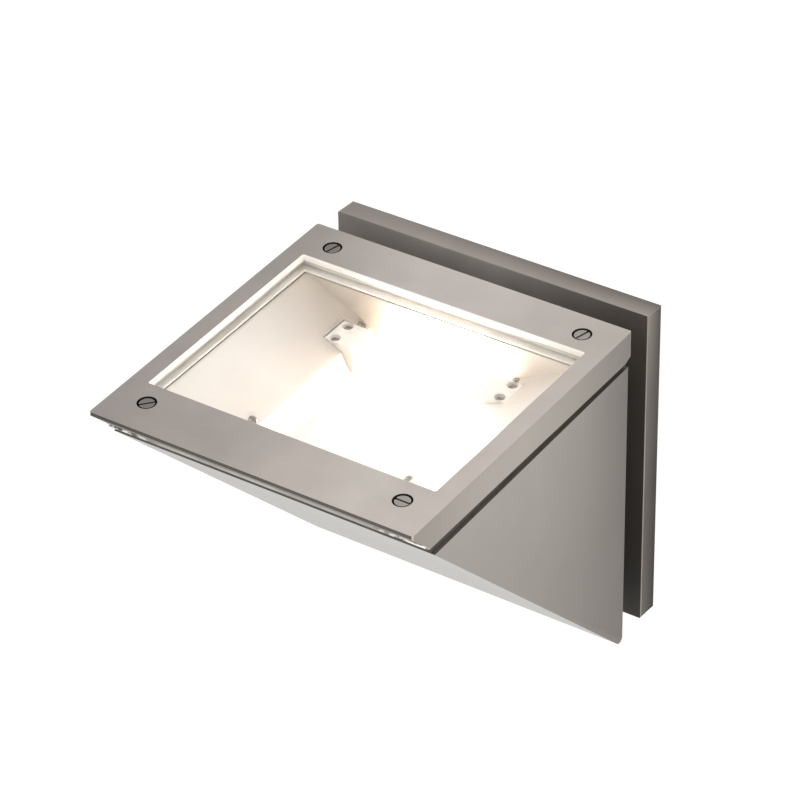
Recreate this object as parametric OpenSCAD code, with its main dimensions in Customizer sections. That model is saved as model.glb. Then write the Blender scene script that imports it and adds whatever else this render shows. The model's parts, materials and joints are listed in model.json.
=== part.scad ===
// Wedge-shaped stainless wall up-light with a clear glass lid.
// X runs along the wall, Y points into the wall, Z is up.
// The origin is the centre of the wall plate, on the wall.

/* [Lid] */
// Width of the lid and of the housing
lid_w = 200; // [180:1:240]
// Length of the lid's top face, from its back edge to its front edge
lid_len = 197.5; // [185:0.5:215]
// Thickness of the lid, square to its top face
lid_t = 16.5; // [15:0.5:20]
// Slope of the lid, down towards the front, in degrees
lid_slope = 4.6; // [2:0.1:8]
// How far below the lid's front edge the underside's plane passes
lid_lip = 4.3; // [2:0.1:6]
// Height of the lid's thin front edge
lip_edge = 2; // [1.5:0.1:2.5]
// Height of the upright band at the foot of the lid's bevel
heel_band = 1.5; // [1:0.1:2]
// How far that band stands back from the underside's plane
heel_in = 1; // [0.5:0.1:1.5]
// Thickness of the lid's top plate
lid_top = 3.5; // [3:0.1:5]
// Thickness of the lid's side and front walls
lid_wall = 5.5; // [4:0.1:6]
// Thickness of the lid's back wall
lid_back_wall = 9; // [8:0.1:10]
// Height of the cut on the lid's lower back edge
foot_cut_h = 2.4; // [1:0.1:4]
// Length of the cut on the lid's lower back edge
foot_cut_l = 6; // [3:0.1:8]

/* [Window] */
// Frame width beside the window
window_side = 11.2; // [10:0.1:16]
// Frame width behind the window
window_back = 28.5; // [27:0.1:34]
// Frame width in front of the window
window_front = 35.5; // [33:0.1:42]
// Bevel round the window's top edge
window_bevel = 0.6; // [0.2:0.1:1]

/* [Lid screws] */
// Distance of the screws from the lid's sides
screw_side = 20.8; // [16:0.1:26]
// Distance of the back screws from the lid's back edge
screw_back = 15.2; // [13:0.1:16]
// Distance of the front screws from the lid's front edge
screw_front = 21.1; // [20:0.1:24]
// Thread diameter of the lid screws
screw_d = 5; // [4:0.5:5]
// Length of the lid screws below the head
screw_len = 18; // [16:0.5:20]
// Head diameter of the lid screws
screw_head_d = 8.5; // [8:0.1:9]
// Head height of the lid screws
screw_head_h = 3.3; // [2.5:0.1:3.4]
// Width of the driver slot in the lid screws
screw_slot_w = 1.2; // [0.8:0.1:1.6]
// Depth of the driver slot in the lid screws
screw_slot_h = 1.4; // [1:0.1:2]
// Diameter of the recess round each head
recess_d = 10.6; // [10:0.1:12]
// Depth of the recess round each head
recess_h = 3.6; // [3.4:0.1:4]
// Diameter of the lid's bosses round the screws
boss_d = 14; // [13:0.1:14]

/* [Glass] */
// Thickness of the glass
glass_t = 5; // [4:0.5:6]
// How far the glass reaches under the lid all round
glass_lap = 4.5; // [3:0.1:5]
// Thickness of the seal above the glass
glass_seal_t = 1; // [0.8:0.1:1.5]
// Thickness of the frame that holds the glass
glass_frame_t = 1.2; // [1:0.1:1.5]
// Thread diameter of the screws that hold the glass frame
clip_screw_d = 3; // [2.5:0.5:3]
// Distance of the outer screws of the glass frame from the glass's sides
clip_side = 45.3; // [40:0.1:50]

/* [Housing] */
// Thickness of the housing's sheet
skin = 2; // [1.5:0.1:2.5]
// Slope of the underside, in degrees
under_slope = 42.6; // [40:0.1:45]
// Slope of the housing's rim, in degrees
rim_slope = 5.5; // [5:0.1:6]
// Seam between lid and rim at the back
seam_back = 3.15; // [3:0.05:3.5]
// Radius of the housing's lower back edge
heel_r = 3; // [2.5:0.5:6]
// Width of the rim's flange along the sides
rim_side = 11; // [9:0.5:12]
// Width of the rim's flange along the back
rim_back = 21; // [20:0.5:22]
// Width of the rim's flange along the front
rim_front = 18; // [17:0.5:19]

/* [Wall plate] */
// Width of the wall plate
plate_w = 198.4; // [180:0.1:220]
// Height of the wall plate
plate_h = 193; // [180:1:220]
// Depth of the wall plate
plate_t = 14.4; // [13:0.1:20]
// Sheet thickness of the wall plate
plate_skin = 2; // [1.5:0.1:2.5]
// Radius of the wall plate's corners and back edges
plate_r = 2.4; // [2:0.1:4]
// Radius of the wall plate's front edges
plate_front_r = 1; // [0.5:0.1:2]
// Gap between the wall plate and the lid
lid_gap = 16.8; // [16:0.1:22]
// Height of the wall plate's top above the lid's back edge
plate_above = 0.4; // [0:0.1:5]
// Width of the seal between the wall plate and the wall
wall_seal_w = 6; // [4:0.5:8]
// Thickness of the seal between the wall plate and the wall
wall_seal_t = 3; // [2:0.5:4]

/* [Wall bracket] */
// Gap between the wall bracket's ends and the wall seal
bracket_gap = 16.2; // [12:0.1:18]
// Height of the wall bracket
bracket_h = 40; // [36:1:50]
// Thickness of the wall bracket
bracket_t = 3; // [2.5:0.5:4]
// Distance of the slots for the wall screws from the bracket's ends
slot_inset = 15; // [13:0.5:17]
// Width of the slots for the wall screws
slot_w = 5.5; // [5:0.5:6.5]
// Length of the slots for the wall screws
slot_l = 12; // [10:0.5:14]
// Distance of the studs that carry the light from the neck's sides
stud_side = 17; // [15:0.5:20]
// Diameter of the studs that carry the light
stud_d = 6; // [5:0.5:6]
// Diameter of the cable hole in bracket and plate
cable_hole_d = 24; // [22:0.5:26]

/* [Neck] */
// Gap between wall plate and housing that the neck fills
neck_len = 20; // [19.6:0.1:26]
// Width of the neck
neck_w = 110; // [104:1:130]
// Height of the neck
neck_h = 90; // [80:1:94]
// Wall thickness of the neck
neck_wall = 3; // [2:0.5:4]
// Corner radius of the neck
neck_r = 8; // [5:0.5:12]
// Thickness of each neck seal
neck_seal_t = 1; // [0.5:0.1:1.5]
// Drop of the neck's centre below the middle of the housing's back wall
neck_drop = 1; // [0.5:0.1:4]

/* [Cable gland] */
// Bore of the gland
gland_bore_d = 11; // [8:0.5:12]
// Thread diameter of the gland
gland_d = 20; // [18:0.5:20]
// Size across the flats of the gland's body and nut
gland_flats = 24; // [23:0.5:26]
// Height of the gland's outer body
gland_body_h = 7; // [5:0.5:9]
// Length of the gland's thread
gland_thread_l = 10; // [9:0.5:12]
// Thickness of the gland's nut
gland_nut_h = 5; // [4:0.5:6]

/* [Reflector] */
// Thickness of the reflector's sheet
foil = 1; // [0.8:0.1:1.2]
// Clearance between the glass frame and the reflector's rim
reflector_gap = 0.5; // [0.3:0.1:1]
// How far the reflector's rim lies inside the window at its sides
reflector_side = 2.8; // [2:0.1:4]
// How far the reflector's rim lies in front of the window's back edge
reflector_back = 0.8; // [0.5:0.1:2]
// How far the reflector's rim reaches past the window's front edge
reflector_front = 2.5; // [1:0.1:3]
// Depth of the wings' inner ends below the lid's top face
wing_depth = 30.9; // [30:0.1:32]
// Half the distance between the inner ends of the wings
wing_end = 45.6; // [44:0.1:48]
// How far the back panel leans forward from the rim to the wings' inner ends
wing_lean = 1; // [0.5:0.1:2]
// How far the back panel leans forward from there to the floor
floor_lean = 3.5; // [2:0.1:5]
// Slope of the front panel, in degrees
bowl_front_slope = 43; // [40:1:46]
// Depth of the bowl's floor below the lid's top face
floor_depth = 47; // [45:0.5:48]
// Half the length of the bowl's floor
floor_half = 40; // [38:0.5:42]
// Diameter of the small screws that hold the reflector
small_screw_d = 3; // [2.5:0.5:3]
// Distance of the back reflector screws from the bowl's back panel
reflector_screw_back = 3.8; // [3.5:0.1:5]
// Distance of the front reflector screws from the bowl's front panel
reflector_screw_front = 12.3; // [10:0.1:18]

/* [Lamp] */
// Length of the lamp between its contacts
lamp_len = 74.9; // [74:0.1:76]
// Depth of the lamp's axis below the lid's top face
lamp_depth = 34; // [33:0.5:35]
// Distance of the lamp's axis from the lid's back edge
lamp_back = 47.2; // [46:0.1:48]
// Diameter of the lamp's quartz tube
lamp_d = 10; // [8:0.5:11]
// Length of the round part of the quartz tube
lamp_tube_l = 50; // [44:1:50]
// Diameter of the lamp's ceramic caps
cap_d = 8; // [7:0.1:8]
// Length of the lamp's ceramic caps
cap_l = 9; // [8:0.5:10]
// Depth of the recess that each contact sits in
cap_recess = 1.7; // [1.5:0.1:2]

/* [Lampholders] */
// Length of a lampholder along the lamp's axis
holder_l = 17.8; // [17:0.1:18]
// Width of a lampholder
holder_w = 18; // [17:0.1:18.5]
// Height of a lampholder
holder_h = 16; // [15:0.5:17]
// Gap between a lampholder and the edges of its notch
notch_gap = 0.6; // [0.5:0.1:1]
// Diameter of the contact plunger
plunger_d = 5; // [4:0.5:5.5]
// Length of the contact plunger's body
plunger_l = 7; // [6:0.5:8]
// Diameter of the plunger's nose
nose_d = 3; // [2:0.1:3.2]
// Travel of the sprung plunger
plunger_travel = 3; // [2:0.5:3.5]
// Radial clearance of the plunger in its bore
plunger_fit = 0.06; // [0.02:0.01:0.1]
// Wire diameter of the contact spring
spring_wire = 0.5; // [0.4:0.1:0.6]
// Diameter of the holder screws
holder_screw_d = 3; // [2.5:0.5:3]

/* [Chassis] */
// Depth of the chassis plate below the lid's top face
chassis_depth = 52; // [50:0.5:54]
// Thickness of the chassis plate
chassis_t = 2; // [1.5:0.1:2.5]
// Width of the chassis plate
chassis_w = 124; // [122:1:130]
// How far the chassis plate reaches past the front posts
chassis_edge = 2.9; // [2:0.1:6]
// Height of the chassis plate's back flange
chassis_flange = 27; // [24:1:28]
// Diameter of the reflector posts
post_d = 8; // [7:0.1:8]

/* [Wiring] */
// Width of the terminal block
block_w = 40; // [36:1:44]
// Depth of the terminal block
block_t = 16; // [14:0.5:18]
// Height of the terminal block
block_h = 20; // [18:0.5:22]
// Gap between the gland's nut and the terminal block
block_gap = 10; // [6:0.5:12]
// Diameter of the lamp leads
lead_d = 2.4; // [2:0.1:2.6]

/* [Hidden] */
$fn = 48;

// Overrun of every cut past the face that it opens
over = 1;
// A length beyond every piece, for cutting half spaces
reach = 2 * (lid_w + lid_len);
// Clearance of a screw's shank in its hole, on the radius
screw_fit = 0.2;
// Clearance between the lid's seats and what they rest on
seat_gap = 0.05;
// Clearance between neighbours that are only laid side by side
side_gap = 0.3;

// Steel finish, paler inside the housing, and the colours of the small parts
steel = [0.62, 0.60, 0.57];
dark_steel = [0.45, 0.43, 0.41];
pale_metal = [0.82, 0.80, 0.78];
seal_black = [0.17, 0.15, 0.14];
ceramic_white = [0.90, 0.87, 0.80];
brass_yellow = [0.78, 0.64, 0.32];

// Where the lid's top back edge lies
lid_y = -plate_t - lid_gap;
lid_z = plate_h / 2 - plate_above;
// A point given along the lid's top face and square to it, in the part's own frame
function lid_pt(y, z) = [
    lid_y + y * cos(lid_slope) - z * sin(lid_slope),
    lid_z + y * sin(lid_slope) + z * cos(lid_slope)
];
module on_lid() {
    translate([0, lid_y, lid_z]) rotate([lid_slope, 0, 0]) children();
}
// A side profile drawn in Y and Z, made w wide about the middle
module profile_x(w) {
    rotate([90, 0, 90]) translate([0, 0, -w / 2]) linear_extrude(w) children();
}
module both_sides() {
    children();
    mirror([1, 0, 0]) children();
}

// The underside's plane, carried on to the lid's front
lip_foot = lid_pt(-lid_len, 0) - [0, lid_lip];
function under_z(y) = lip_foot[1] - (y - lip_foot[0]) * tan(under_slope);
// The same plane seen along the lid
bevel_angle = lid_slope + under_slope;
lip_foot_y = -lid_len - lid_lip * sin(lid_slope);
lip_foot_z = -lid_lip * cos(lid_slope);
lid_heel_y = lip_foot_y + (lid_t + lip_foot_z) / tan(bevel_angle);
// The rim's plane
rim_z = lid_z - lid_t / cos(lid_slope) - seam_back;
function rim_at(y) = rim_z + (y - lid_y) * tan(rim_slope);
// The housing's back face and its inner side
back_y = -plate_t - neck_len;
inner_y = back_y - skin;
// The neck sits below the middle of the back wall, and its studs stand inside it
neck_z = (rim_at(back_y) + under_z(back_y)) / 2 - neck_drop;
stud_x = neck_w / 2 - stud_side;

// Everything below the rim's plane, moved down by d
module below_rim(d = 0) {
    translate([-reach / 2, lid_y, rim_z - d])
        rotate([rim_slope, 0, 0])
            translate([0, -reach, -reach])
                cube([reach, reach + lid_gap * 2, reach]);
}

// Round-cornered plate outline, w by h about the middle
module round_rect(w, h, r) {
    square([w - 2 * r, h], center = true);
    square([w, h - 2 * r], center = true);
    for (x = [-1, 1], y = [-1, 1])
        translate([x * (w / 2 - r), y * (h / 2 - r)]) circle(r);
}
// Turns a shape drawn in X and Z, made t deep, so that it ends at y
module slab_y(y, t) {
    translate([0, y, 0]) rotate([90, 0, 0]) linear_extrude(t) children();
}
module hex(flats, h) {
    cylinder(d = flats / cos(30), h = h, $fn = 6);
}
// Pan-head screw, its seat at zero, its head up and its shank down
module pan_screw(d, len, head_d, head_h) {
    difference() {
        union() {
            cylinder(d = head_d, h = head_h * 0.6);
            translate([0, 0, head_h * 0.6])
                cylinder(d1 = head_d, d2 = head_d * 0.7, h = head_h * 0.4, $fn = 32);
            translate([0, 0, -len]) cylinder(d = d, h = len + head_h / 2);
        }
        translate([-head_d, -d * 0.13, head_h * 0.5]) cube([head_d * 2, d * 0.26, head_h]);
    }
}

// Lid
half_w = lid_w / 2;
window_half = half_w - window_side;
window_y0 = -window_back;
window_y1 = -lid_len + window_front;
screw_x = half_w - screw_side;
screw_ys = [-screw_back, -lid_len + screw_front];
// How far the driver slots are turned, left and right, in the back and in the front row, in degrees
slot_turns = [[74, 74], [47, 0]];
cavity_half = half_w - lid_wall;
cavity_front = lid_heel_y + lid_wall;

module at_lid_screws() {
    for (x = [-1, 1], y = screw_ys) translate([x * screw_x, y, 0]) children();
}

// Depths of the glass and of its seal and frame, below the lid's top face
glass_z = -lid_top - glass_seal_t - glass_t;
glass_half = window_half + glass_lap;
glass_y0 = window_y0 + glass_lap;
glass_y1 = window_y1 - glass_lap;
clip_ys = [(glass_y0 - lid_wall) / 2 - clip_screw_d / 4, (glass_y1 + cavity_front) / 2];
clip_boss_d = clip_screw_d * 2;
clip_head_d = clip_screw_d * 1.8;
clip_head_h = clip_screw_d * 0.55;
clip_x = glass_half - clip_side;

module at_clips() {
    for (x = [-1, 0, 1], y = clip_ys) translate([x * clip_x, y, 0]) children();
}

// A prism that bevels a top edge, len long, along +X
module bevel_prism(len) {
    b = window_bevel;
    rotate([90, 0, 90])
        linear_extrude(len)
            polygon([[-b, over], [b + over, over], [b + over, -b - over], [0, -b], [-b, 0]]);
}

module window_cut() {
    w = 2 * window_half;
    l = window_y0 - window_y1;
    translate([-window_half, window_y1, -lid_top - over]) cube([w, l, lid_top + 2 * over]);
    for (m = [0, 1]) mirror([m, 0, 0]) {
        translate([-window_half, window_y1, 0]) rotate([0, 0, 90]) mirror([0, 1, 0]) bevel_prism(l);
    }
    translate([-window_half, window_y1, 0]) bevel_prism(w);
    translate([-window_half, window_y0, 0]) mirror([0, 1, 0]) bevel_prism(w);
}

module lid_frame() {
    plumb = [sin(lid_slope), cos(lid_slope)];
    front = [-lid_len, 0];
    heel = [lid_heel_y + heel_in, -lid_t];
    outline = [
        [0, 0], front, front - lip_edge * plumb, heel + heel_band * plumb, heel,
        [-(lid_t * tan(lid_slope)) - foot_cut_l, -lid_t],
        [-(lid_t - foot_cut_h) * tan(lid_slope), -(lid_t - foot_cut_h)]
    ];
    color(steel) on_lid() difference() {
        union() {
            difference() {
                profile_x(lid_w) polygon(outline);
                translate([-cavity_half, cavity_front, -lid_t - over])
                    cube([2 * cavity_half, -lid_back_wall - cavity_front, lid_t - lid_top + over]);
                window_cut();
            }
            at_lid_screws() translate([0, 0, -lid_t]) cylinder(d = boss_d, h = lid_t - lid_top / 2);
            at_clips() translate([0, 0, glass_z]) cylinder(d = clip_boss_d, h = -glass_z - lid_top / 2);
        }
        at_lid_screws() {
            translate([0, 0, -recess_h]) cylinder(d = recess_d, h = recess_h + over);
            translate([0, 0, -lid_t - over]) cylinder(d = screw_d + 2 * screw_fit, h = lid_t + over);
        }
        at_clips() translate([0, 0, glass_z - over])
            cylinder(d = clip_screw_d, h = glass_frame_t + clip_screw_d * 1.6 + over);
    }
}

module slotted_screw() {
    difference() {
        union() {
            cylinder(d = screw_head_d, h = screw_head_h);
            translate([0, 0, -screw_len]) cylinder(d = screw_d, h = screw_len + screw_head_h / 2);
        }
        translate([-screw_head_d, -screw_slot_w / 2, screw_head_h - screw_slot_h])
            cube([screw_head_d * 2, screw_slot_w, screw_slot_h + over]);
    }
}
module lid_screws() {
    color(dark_steel) on_lid() for (side = [0, 1], row = [0, 1])
        translate([(2 * side - 1) * screw_x, screw_ys[row], -recess_h])
            rotate(slot_turns[row][side]) slotted_screw();
}

// A flat ring under the lid, from the window's edge moved out by gap, t thick below z
module glass_ring(z, t, gap) {
    translate([0, 0, z - t]) linear_extrude(t) difference() {
        translate([-glass_half, glass_y1]) square([2 * glass_half, glass_y0 - glass_y1]);
        translate([-window_half - gap, window_y1 - gap])
            square([2 * (window_half + gap), window_y0 - window_y1 + 2 * gap]);
    }
}

module glass_gasket() {
    color(seal_black) on_lid() glass_ring(-lid_top, glass_seal_t, side_gap);
}

module glass_pane() {
    color([0.85, 0.92, 0.90, 0.35]) on_lid()
        translate([-glass_half, glass_y1, glass_z])
            cube([2 * glass_half, glass_y0 - glass_y1, glass_t]);
}

module glass_frame() {
    tab = clip_screw_d * 3;
    color(pale_metal) on_lid() difference() {
        union() {
            glass_ring(glass_z, glass_frame_t, -side_gap);
            for (x = [-1, 0, 1], i = [0, 1]) {
                edge = i == 0 ? glass_y0 : glass_y1;
                low = min(edge, clip_ys[i]);
                high = max(edge, clip_ys[i]);
                translate([x * clip_x - tab / 2, low, glass_z - glass_frame_t])
                    cube([tab, high - low, glass_frame_t]);
                translate([x * clip_x, clip_ys[i], glass_z - glass_frame_t])
                    cylinder(d = tab, h = glass_frame_t);
            }
        }
        at_clips() translate([0, 0, glass_z - glass_frame_t - over])
            cylinder(d = clip_screw_d + 2 * screw_fit, h = glass_frame_t + 2 * over);
    }
}

module glass_frame_screws() {
    color(dark_steel) on_lid() at_clips()
        translate([0, 0, glass_z - glass_frame_t]) mirror([0, 0, 1])
            pan_screw(clip_screw_d, glass_frame_t + clip_screw_d * 1.5, clip_head_d, clip_head_h);
}

// Housing
// The lines of the housing's side profile, moved inwards by d
function under_line(y, d) = under_z(y) + d / cos(under_slope);
function rim_line(y, d) = rim_at(y) - d / cos(rim_slope);
// Where the rim's line, moved down by d, meets the underside's line, moved in by e
function nose_y(d, e) =
    (under_line(0, e) - rim_line(0, d)) / (tan(under_slope) + tan(rim_slope));
// The folded heel, as an arc about the bend's centre, from the underside to the back wall
heel_steps = 12;
heel_centre = [back_y - heel_r, under_line(back_y - heel_r, heel_r)];
function heel_arc(r) = [
    for (i = [0 : heel_steps])
        let (a = -(90 + under_slope) * (1 - i / heel_steps))
        heel_centre + r * [cos(a), sin(a)]
];
// The side profile, moved in by e, with its top moved down by d
function wedge(e, d) = concat(
    [[back_y - e, rim_line(back_y - e, d)], [nose_y(d, e), rim_line(nose_y(d, e), d)]],
    heel_arc(heel_r - e)
);

gland_hole_d = gland_d + 4 * screw_fit;
stud_hole_d = stud_d + 4 * screw_fit;
rim_open_half = half_w - rim_side;
rim_open_y0 = -(neck_len - lid_gap) - rim_back;
rim_open_y1 = lid_heel_y + rim_front;
rim_cut_z = -lid_t - 2 * seam_back - 3 * skin;

// One sheet folded at the heel makes the back wall and the underside
module housing_wrap() {
    color(steel) difference() {
        profile_x(lid_w - 2 * skin) difference() {
            polygon(wedge(0, 0));
            polygon(wedge(skin, -skin));
        }
        for (x = [-1, 1]) translate([x * stud_x, back_y + over, neck_z])
            rotate([90, 0, 0]) cylinder(d = stud_hole_d, h = skin + 2 * over);
        translate([0, back_y + over, neck_z])
            rotate([90, 0, 0]) cylinder(d = gland_hole_d, h = skin + 2 * over);
    }
}
// The in-turned rim lies between the side panels, on top of the folded sheet
module housing_rim() {
    color(steel) difference() {
        profile_x(lid_w - 2 * skin) difference() {
            polygon(wedge(skin, 0));
            polygon(wedge(skin - over, skin));
        }
        on_lid() {
            translate([-rim_open_half, rim_open_y1, rim_cut_z])
                cube([2 * rim_open_half, rim_open_y0 - rim_open_y1, -lid_t - rim_cut_z]);
            for (x = [-1, 1]) translate([x * screw_x, screw_ys[0], rim_cut_z])
                cylinder(d = screw_d + 2 * screw_fit, h = -lid_t - rim_cut_z);
        }
    }
}
module side_panel() {
    color(steel) translate([half_w - skin, 0, 0]) rotate([90, 0, 90])
        linear_extrude(skin) polygon(wedge(0, 0));
}
module housing_side_right() {
    side_panel();
}
module housing_side_left() {
    mirror([1, 0, 0]) side_panel();
}

// Wall thickness of the bushes that the lid's screws go into
bush_wall = 1.1;
bush_d = screw_d + 2 * bush_wall;
// Depth under the lid that is surely below the rim's plane
seam_low = 5 * skin;

module lid_bushes() {
    color(pale_metal) difference() {
        on_lid() at_lid_screws() difference() {
            translate([0, 0, -lid_t - seam_low]) cylinder(d = bush_d, h = seam_low - side_gap);
            translate([0, 0, -lid_t - seam_low - over])
                cylinder(d = screw_d + screw_fit, h = seam_low + 2 * over);
        }
        below_rim();
    }
}

module lid_gasket() {
    outer_x = half_w - skin;
    inner_x = rim_open_half + skin / 2;
    front_y = lid_heel_y + lid_wall;
    back_y = -lid_t * tan(lid_slope) - foot_cut_l;
    color(seal_black) difference() {
        on_lid() difference() {
            translate([-outer_x, front_y, -lid_t - seam_low])
                cube([2 * outer_x, back_y - front_y, seam_low - seat_gap]);
            translate([-inner_x, rim_open_y1 - skin / 2, -lid_t - seam_low - over])
                cube([2 * inner_x, rim_open_y0 - rim_open_y1 + skin, seam_low + 2 * over]);
            at_lid_screws() translate([0, 0, -lid_t - seam_low - over])
                cylinder(d = bush_d + 2 * side_gap, h = seam_low + 2 * over);
        }
        below_rim();
    }
}

// Wall plate, bracket and neck
// The plate's profile, l long, with its back at zero and its rounded front at -plate_t
module plate_profile(l) {
    r = plate_front_r;
    square_end = plate_t - plate_r;
    translate([-plate_t + r, -l / 2]) square([square_end - r, l]);
    translate([-plate_t, -l / 2 + r]) square([square_end, l - 2 * r]);
    translate([-square_end, -l / 2 + plate_r]) square([square_end, l - 2 * plate_r]);
    for (end = [-1, 1]) {
        translate([-plate_t + r, end * (l / 2 - r)]) circle(r);
        translate([-plate_r, end * (l / 2 - plate_r)]) circle(plate_r);
    }
}
module plate_block() {
    intersection() {
        slab_y(0, plate_t) round_rect(plate_w, plate_h, plate_r);
        profile_x(plate_w) plate_profile(plate_h);
        translate([0, 0, -plate_h / 2]) linear_extrude(plate_h) rotate(90) plate_profile(plate_w);
    }
}

module wall_plate() {
    in_w = plate_w - 2 * plate_skin;
    in_h = plate_h - 2 * plate_skin;
    color(steel) difference() {
        plate_block();
        slab_y(over, plate_t - plate_skin + over) round_rect(in_w, in_h, plate_r);
        for (x = [-1, 1]) translate([x * stud_x, 0, neck_z])
            rotate([90, 0, 0]) cylinder(d = stud_hole_d, h = plate_t + over);
        translate([0, 0, neck_z])
            rotate([90, 0, 0]) cylinder(d = cable_hole_d, h = plate_t + over);
    }
}

module wall_gasket() {
    out_w = plate_w - 2 * plate_skin;
    out_h = plate_h - 2 * plate_skin;
    color(seal_black) slab_y(0, wall_seal_t) difference() {
        round_rect(out_w, out_h, plate_r);
        round_rect(out_w - 2 * wall_seal_w, out_h - 2 * wall_seal_w, plate_r);
    }
}

module plate_grommet() {
    lip = plate_skin;
    y = -plate_t + plate_skin;
    color(seal_black) translate([0, y, neck_z]) rotate([90, 0, 0]) difference() {
        union() {
            cylinder(d = cable_hole_d, h = plate_skin);
            translate([0, 0, -lip]) cylinder(d = cable_hole_d + 2 * lip, h = lip);
        }
        translate([0, 0, -lip - over])
            cylinder(d = cable_hole_d - 2 * lip, h = plate_skin + lip + 2 * over);
    }
}

module slot_2d(l, w) {
    square([l - w, w], center = true);
    for (x = [-1, 1]) translate([x * (l - w) / 2, 0]) circle(d = w);
}

bracket_l = plate_w - 2 * (plate_skin + wall_seal_w + bracket_gap);
slot_x = bracket_l / 2 - slot_inset;

module wall_bracket() {
    color(dark_steel) slab_y(0, bracket_t) translate([0, neck_z]) difference() {
        round_rect(bracket_l, bracket_h, plate_r);
        for (x = [-1, 1]) {
            translate([x * slot_x, 0]) slot_2d(slot_l, slot_w);
            translate([x * stud_x, 0]) circle(d = stud_d);
        }
        circle(d = cable_hole_d);
    }
}

washer_t = stud_d / 4;
nut_t = stud_d * 0.8;
stud_end_y = inner_y - washer_t - nut_t - stud_d / 3;

module bracket_studs() {
    collar = stud_d / 2;
    color(dark_steel) for (x = [-1, 1]) translate([x * stud_x, 0, neck_z]) rotate([90, 0, 0]) {
        cylinder(d = stud_d, h = -stud_end_y);
        translate([0, 0, bracket_t]) hex(stud_d * 5 / 3, plate_t - plate_skin - bracket_t);
        translate([0, 0, bracket_t]) cylinder(d = stud_d + collar, h = collar);
    }
}

module neck_ring(y, t) {
    slab_y(y, t) translate([0, neck_z]) difference() {
        round_rect(neck_w, neck_h, neck_r);
        round_rect(neck_w - 2 * neck_wall, neck_h - 2 * neck_wall, neck_r - neck_wall);
    }
}
module neck_seal_rear() {
    color(seal_black) neck_ring(-plate_t, neck_seal_t);
}
module neck_frame() {
    color(dark_steel) neck_ring(-plate_t - neck_seal_t, neck_len - 2 * neck_seal_t);
}
module neck_seal_front() {
    color(seal_black) neck_ring(back_y + neck_seal_t, neck_seal_t);
}

module at_studs_inside(y) {
    for (x = [-1, 1]) translate([x * stud_x, y, neck_z]) rotate([90, 0, 0]) children();
}
module stud_washers() {
    color(pale_metal) at_studs_inside(inner_y) difference() {
        cylinder(d = stud_d * 2, h = washer_t);
        translate([0, 0, -over]) cylinder(d = stud_d + 2 * screw_fit, h = washer_t + 2 * over);
    }
}
module stud_nuts() {
    color(dark_steel) at_studs_inside(inner_y - washer_t) difference() {
        hex(stud_d * 5 / 3, nut_t);
        translate([0, 0, -over]) cylinder(d = stud_d + screw_fit / 2, h = nut_t + 2 * over);
    }
}

// Cable gland, from outside the housing's back wall to its nut inside
// Thickness of the gland's seal
gland_seal_t = 1.2;
module at_gland(y) {
    translate([0, y, neck_z]) rotate([90, 0, 0]) children();
}
module cable_gland() {
    dome = gland_body_h / 2;
    color(dark_steel) at_gland(back_y + gland_seal_t) difference() {
        union() {
            translate([0, 0, -gland_body_h]) hex(gland_flats, gland_body_h);
            translate([0, 0, -gland_body_h - dome]) cylinder(d = gland_flats * 5 / 6, h = dome);
            cylinder(d = gland_d, h = gland_thread_l);
        }
        translate([0, 0, -gland_body_h - dome - over])
            cylinder(d = gland_bore_d, h = gland_body_h + dome + gland_thread_l + 2 * over);
    }
}
module gland_seal() {
    color(seal_black) at_gland(back_y + gland_seal_t) difference() {
        cylinder(d = gland_flats, h = gland_seal_t);
        translate([0, 0, -over]) cylinder(d = gland_d + screw_fit, h = gland_seal_t + 2 * over);
    }
}
module gland_nut() {
    color(dark_steel) at_gland(inner_y) difference() {
        hex(gland_flats, gland_nut_h);
        translate([0, 0, -over]) cylinder(d = gland_d + screw_fit, h = gland_nut_h + 2 * over);
    }
}

// Chassis plate on two studs on the housing's back wall
function lid_s_at(y, d) = (y - lid_y - d * sin(lid_slope)) / cos(lid_slope);
chassis_top = lid_pt(lid_s_at(inner_y, chassis_depth), -chassis_depth);
chassis_low_z = chassis_top[1] - chassis_flange;
chassis_stud_x = chassis_w / 2 - chassis_flange / 2;
chassis_stud_z = chassis_low_z + chassis_flange / 3;
// Diameter of the studs that carry the chassis plate
chassis_stud_d = 4;

module chassis_plate() {
    y2 = inner_y - chassis_t;
    d2 = chassis_depth + chassis_t;
    elbow = lid_pt(lid_s_at(y2, d2), -d2);
    outline = [
        chassis_top, lid_pt(chassis_y1, -chassis_depth), lid_pt(chassis_y1, -d2),
        elbow, [y2, chassis_low_z], [inner_y, chassis_low_z]
    ];
    color(pale_metal) difference() {
        profile_x(chassis_w) polygon(outline);
        for (x = [-1, 1]) translate([x * chassis_stud_x, inner_y + over, chassis_stud_z])
            rotate([90, 0, 0]) cylinder(d = chassis_stud_d + 2 * screw_fit, h = chassis_t + 2 * over);
    }
}
module at_chassis_studs(y) {
    for (x = [-1, 1]) translate([x * chassis_stud_x, y, chassis_stud_z]) rotate([90, 0, 0]) children();
}
module chassis_studs() {
    color(dark_steel) at_chassis_studs(inner_y)
        cylinder(d = chassis_stud_d, h = chassis_t + chassis_stud_d * 1.4);
}
module chassis_nuts() {
    color(dark_steel) at_chassis_studs(inner_y - chassis_t) difference() {
        hex(chassis_stud_d * 1.75, chassis_stud_d * 0.8);
        translate([0, 0, -over]) cylinder(d = chassis_stud_d + screw_fit / 2, h = chassis_stud_d + over);
    }
}

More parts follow.
